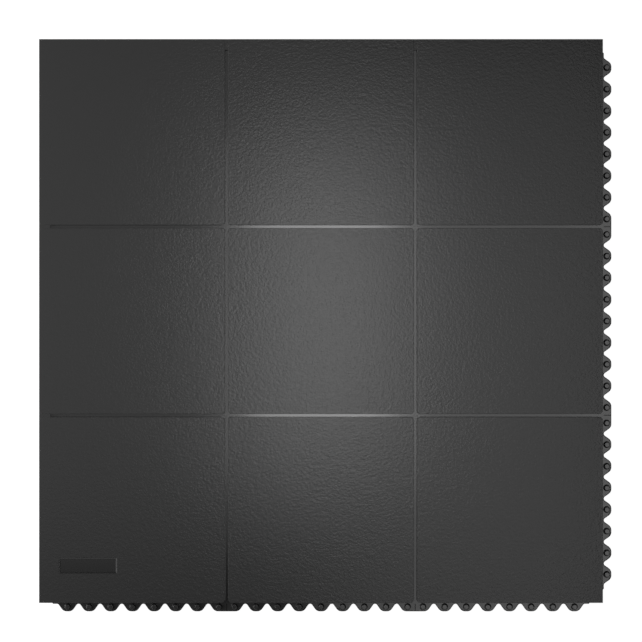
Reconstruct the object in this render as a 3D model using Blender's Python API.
"""Modular rubber floor mat: one moulded tile of nine square pads, with coupling tabs on two edges.

The tile lies flat, centred on the origin, with its underside on the plane Z = 0. The tabs stand out
on the +X and -Y edges, and the -X and +Y edges have the rebate and the sockets that a neighbour's
tabs and studs go into. Sizes are in metres.
"""

import math

import bmesh
import bpy
from mathutils import Matrix, Vector

# The face: nine pads between open channels
PADS_A_SIDE = 3
PAD = 0.300
GROOVE = 0.005
PITCH = PAD + GROOVE
FACE = PADS_A_SIDE * PITCH - GROOVE
EDGE = FACE / 2
THICKNESS = 0.016
TAB_THICKNESS = 0.007
PAD_CORNER = 0.005
PAD_EDGE_ROUND = 0.0005
PARTING_STEP = 0.0002

# The coupling tabs, measured outwards from the edge of the face
TABS_A_PAD = 9
TAB_PITCH = 0.035
TAB_REACH = 0.015
SHOULDER_RADIUS = 0.010
SHOULDER_SPREAD = 0.0017
FLANK_LEAN = math.radians(35)
WEB_REACH = 0.0028
WEB_END = 0.0060
SHOULDER_STEPS = 3
VALLEY_STEPS = 2

# The studs on the tabs
STUD_OUT = 0.0072
STUD_BASE_RADIUS = 0.0052
STUD_TOP_RADIUS = 0.0039
STUD_HEIGHT = 0.006
STUD_SIDES = 12

# The rebate and sockets under the other two edges
JOINT_GAP = 0.0005
REBATE_HEIGHT = TAB_THICKNESS + 0.0003
REBATE_DEPTH = TAB_REACH + 0.001
REBATE_SIDE_ROOM = 0.002
SOCKET_RADIUS = STUD_BASE_RADIUS + 0.0004
SOCKET_TOP = TAB_THICKNESS + STUD_HEIGHT + 0.0007
LIP_LENGTH = 0.0175
LIP_DIP = 0.0002
LIP_LEAN = math.radians(6)

# The bare recess in the corner pad
BADGE_SIZE = (0.090, 0.0215)
BADGE_FROM_CORNER = (0.034, 0.0495)
BADGE_DEPTH = 0.0004

OVERLAP = 0.001
RUBBER_COLOUR = (0.035, 0.035, 0.036, 1.0)
RUBBER_ROUGHNESS = 0.6


def clear_scene():
    """Start from an empty scene."""
    for old in list(bpy.data.objects):
        bpy.data.objects.remove(old, do_unlink=True)


def new_collection(name):
    """A collection linked to the scene."""
    made = bpy.data.collections.new(name)
    bpy.context.scene.collection.children.link(made)
    return made


def rubber():
    """Black moulded rubber."""
    material = bpy.data.materials.new("rubber")
    material.use_nodes = True
    shader = material.node_tree.nodes["Principled BSDF"]
    shader.inputs["Base Color"].default_value = RUBBER_COLOUR
    shader.inputs["Roughness"].default_value = RUBBER_ROUGHNESS
    shader.inputs["Metallic"].default_value = 0.0
    return material


def add_object(name, bm, collection):
    """Turn an edit mesh into an object."""
    mesh = bpy.data.meshes.new(name)
    bm.to_mesh(mesh)
    bm.free()
    made = bpy.data.objects.new(name, mesh)
    collection.objects.link(made)
    return made


def box(name, low, high, collection):
    """A box between two corners."""
    bm = bmesh.new()
    size = Vector(high) - Vector(low)
    middle = (Vector(high) + Vector(low)) / 2
    bmesh.ops.create_cube(bm, size=1.0, matrix=Matrix.Translation(middle) @ Matrix.Diagonal((*size, 1.0)))
    return add_object(name, bm, collection)


def plate(name, outline, height, collection):
    """A flat outline made solid, from the floor up."""
    bm = bmesh.new()
    corners = [bm.verts.new((x, y, 0.0)) for x, y in outline]
    face = bm.faces.new(corners)
    raised = bmesh.ops.extrude_face_region(bm, geom=[face])
    lifted = [made for made in raised["geom"] if isinstance(made, bmesh.types.BMVert)]
    bmesh.ops.translate(bm, vec=(0.0, 0.0, height), verts=lifted)
    bmesh.ops.recalc_face_normals(bm, faces=bm.faces)
    return add_object(name, bm, collection)


def frustums(name, places, low, high, low_radius, high_radius, collection):
    """Upright round studs or holes, all in one mesh."""
    bm = bmesh.new()
    for x, y in places:
        bmesh.ops.create_cone(
            bm,
            cap_ends=True,
            segments=STUD_SIDES,
            radius1=low_radius,
            radius2=high_radius,
            depth=high - low,
            matrix=Matrix.Translation((x, y, (low + high) / 2)),
        )
    return add_object(name, bm, collection)


def tab_places():
    """Where the tabs stand along an edge. The two next to the corners of the mat are left out."""
    from_middle = [(k - (TABS_A_PAD - 1) / 2) * TAB_PITCH for k in range(TABS_A_PAD)]
    pads = [(k - (PADS_A_SIDE - 1) / 2) * PITCH for k in range(PADS_A_SIDE)]
    along = [pad + tab for pad in pads for tab in from_middle]
    return along[1:-1]


def valley_radius():
    """The radius of the round valley that touches two neighbouring flanks and the web line."""
    across, out = math.cos(FLANK_LEAN), math.sin(FLANK_LEAN)
    foot = SHOULDER_SPREAD + SHOULDER_RADIUS * across
    rise = TAB_REACH - SHOULDER_RADIUS + SHOULDER_RADIUS * out
    reach = (TAB_PITCH / 2 - foot) * across + (WEB_REACH - rise) * out
    return reach / (1 - out)


def arc(centre, radius, start, end, steps):
    """Points along an arc, from one angle to another."""
    turns = [start + (end - start) * k / steps for k in range(steps + 1)]
    return [(centre[0] + radius * math.cos(a), centre[1] + radius * math.sin(a)) for a in turns]


def coupling_edge():
    """The scalloped line of one coupling edge, as (along, outwards from the face)."""
    places = tab_places()
    radius = valley_radius()
    lean = FLANK_LEAN
    valley_out = WEB_REACH + radius
    shoulder_out = TAB_REACH - SHOULDER_RADIUS
    first = places[0] - TAB_PITCH / 2
    last = places[-1] + TAB_PITCH / 2
    line = [(first - WEB_END - WEB_REACH, -PARTING_STEP), (first - WEB_END, WEB_REACH)]
    line += arc((first, valley_out), radius, -math.pi / 2, -lean, VALLEY_STEPS)
    steps = [after - here for here, after in zip(places, places[1:])]
    joined = [step < TAB_PITCH - SHOULDER_SPREAD for step in steps]
    for here, joined_before, joined_after in zip(places, [False] + joined, joined + [False]):
        left = (here - SHOULDER_SPREAD, shoulder_out)
        right = (here + SHOULDER_SPREAD, shoulder_out)
        if not joined_before:
            line += arc(left, SHOULDER_RADIUS, math.pi - lean, math.pi / 2, SHOULDER_STEPS)
        if not joined_after:
            line += arc(right, SHOULDER_RADIUS, math.pi / 2, lean, SHOULDER_STEPS)
        if here != places[-1] and not joined_after:
            middle = here + TAB_PITCH / 2
            line += arc((middle, valley_out), radius, -math.pi + lean, -lean, 2 * VALLEY_STEPS)
    line += arc((last, valley_out), radius, -math.pi + lean, -math.pi / 2, VALLEY_STEPS)
    line += [(last + WEB_END, WEB_REACH), (last + WEB_END + WEB_REACH, -PARTING_STEP)]
    return line


def base_outline():
    """The outline of the thin base: straight on -X and +Y, scalloped on +X and -Y."""
    edge = coupling_edge()
    corner = EDGE - PARTING_STEP
    outline = [(-corner, corner), (corner, corner)]
    outline += [(EDGE + out, -along) for along, out in edge]
    outline += [(corner, -corner)]
    outline += [(-along, -EDGE - out) for along, out in edge]
    outline += [(-corner, -corner)]
    return outline


def pad(name, column, row, collection):
    """One raised pad, with its corners cut off except at the corners of the mat."""
    pads_before = (PADS_A_SIDE - 1) / 2
    middle = Vector(((column - pads_before) * PITCH, (row - pads_before) * PITCH, 0.0))
    bottom = TAB_THICKNESS - OVERLAP
    bm = bmesh.new()
    size = (PAD, PAD, THICKNESS - bottom, 1.0)
    lift = Matrix.Translation(middle + Vector((0.0, 0.0, (THICKNESS + bottom) / 2)))
    bmesh.ops.create_cube(bm, size=1.0, matrix=lift @ Matrix.Diagonal(size))
    inner = []
    for side in bm.edges:
        a, b = (corner.co for corner in side.verts)
        upright = abs(a.z - b.z) > OVERLAP
        at_mat_corner = min(abs(a.x), abs(a.y)) > EDGE - OVERLAP
        if upright and not at_mat_corner:
            inner.append(side)
    bmesh.ops.bevel(bm, geom=inner, offset=PAD_CORNER, segments=1, affect="EDGES")
    rim = [side for side in bm.edges if all(corner.co.z > THICKNESS - OVERLAP for corner in side.verts)]
    bmesh.ops.bevel(bm, geom=rim, offset=PAD_EDGE_ROUND, segments=2, profile=0.5, affect="EDGES")
    return add_object(name, bm, collection)


def groove_lines():
    """The places of the channels between the pads, across either axis."""
    return [(k - (PADS_A_SIDE - 2) / 2) * PITCH for k in range(PADS_A_SIDE - 1)]


def combine(target, operands, operation):
    """Join or cut with everything in a collection, by the exact solver."""
    step = target.modifiers.new(operands.name, "BOOLEAN")
    step.operation = operation
    step.operand_type = "COLLECTION"
    step.collection = operands
    step.solver = "EXACT"
    for cutter in operands.objects:
        cutter.hide_render = True
        cutter.display_type = "WIRE"


def lip(name, start, inwards, across, collection):
    """A bridge that closes the end of a channel, with a steep slope down to the channel's floor."""
    half = GROOVE / 2 + PAD_CORNER + OVERLAP
    bottom = TAB_THICKNESS - OVERLAP
    top = THICKNESS - LIP_DIP
    near = 2 * PARTING_STEP
    far = LIP_LENGTH + (top - bottom) * math.tan(LIP_LEAN)
    section = [(near, bottom), (near, top), (LIP_LENGTH, top), (far, bottom)]
    bm = bmesh.new()
    ends = []
    for side in (-half, half):
        middle = Vector(start) + Vector(across) * side
        ends.append([bm.verts.new(middle + Vector(inwards) * u + Vector((0, 0, z))) for u, z in section])
    for end in ends:
        bm.faces.new(end)
    for k in range(len(section)):
        bm.faces.new((ends[0][k - 1], ends[0][k], ends[1][k], ends[1][k - 1]))
    bmesh.ops.recalc_face_normals(bm, faces=bm.faces)
    return add_object(name, bm, collection)


def raise_pads(tools):
    """The nine pads, and the thin lips that join them over the rebates."""
    for column in range(PADS_A_SIDE):
        for row in range(PADS_A_SIDE):
            pad(f"pad_{column}_{row}", column, row, tools)
    for k, line in enumerate(groove_lines()):
        lip(f"left_lip_{k}", (-EDGE, line, 0), (1, 0, 0), (0, 1, 0), tools)
        lip(f"back_lip_{k}", (line, EDGE, 0), (0, -1, 0), (1, 0, 0), tools)


def raise_studs(tools):
    """One stud on each tab."""
    places = tab_places()
    studs = [(EDGE + STUD_OUT, along) for along in places]
    studs += [(along, -EDGE - STUD_OUT) for along in places]
    foot = TAB_THICKNESS - OVERLAP
    top = TAB_THICKNESS + STUD_HEIGHT
    frustums("studs", studs, foot, top, STUD_BASE_RADIUS, STUD_TOP_RADIUS, tools)


def hollow_rebates(tools):
    """The rebates that a neighbour's tabs lie in, and a socket for each of its studs."""
    places = tab_places()
    reach = places[-1] + TAB_PITCH / 2 + WEB_END + WEB_REACH + REBATE_SIDE_ROOM
    inner = EDGE - REBATE_DEPTH
    outer = EDGE + OVERLAP
    box("left_rebate", (-outer, -reach, -OVERLAP), (-inner, reach, REBATE_HEIGHT), tools)
    box("back_rebate", (-reach, inner, -OVERLAP), (reach, outer, REBATE_HEIGHT), tools)
    out = EDGE - STUD_OUT + JOINT_GAP
    sockets = [(-out, along) for along in places]
    sockets += [(along, out) for along in places]
    foot = REBATE_HEIGHT - OVERLAP
    frustums("sockets", sockets, foot, SOCKET_TOP, SOCKET_RADIUS, SOCKET_RADIUS, tools)


def hollow_badge(tools):
    """The bare recess in the corner pad."""
    left = -EDGE + BADGE_FROM_CORNER[0]
    front = -EDGE + BADGE_FROM_CORNER[1]
    low = (left, front, THICKNESS - BADGE_DEPTH)
    high = (left + BADGE_SIZE[0], front + BADGE_SIZE[1], THICKNESS + OVERLAP)
    box("badge_recess", low, high, tools)


def floor_mat(parts, raised, hollows):
    """The whole tile, moulded in one piece."""
    mat = plate("floor_mat", base_outline(), TAB_THICKNESS, parts)
    raise_pads(raised)
    raise_studs(raised)
    hollow_rebates(hollows)
    hollow_badge(hollows)
    combine(mat, raised, "UNION")
    combine(mat, hollows, "DIFFERENCE")
    mat.data.materials.append(rubber())


clear_scene()
floor_mat(
    new_collection("modular_rubber_floor_mat"),
    new_collection("raised_shapes"),
    new_collection("hollow_shapes"),
)
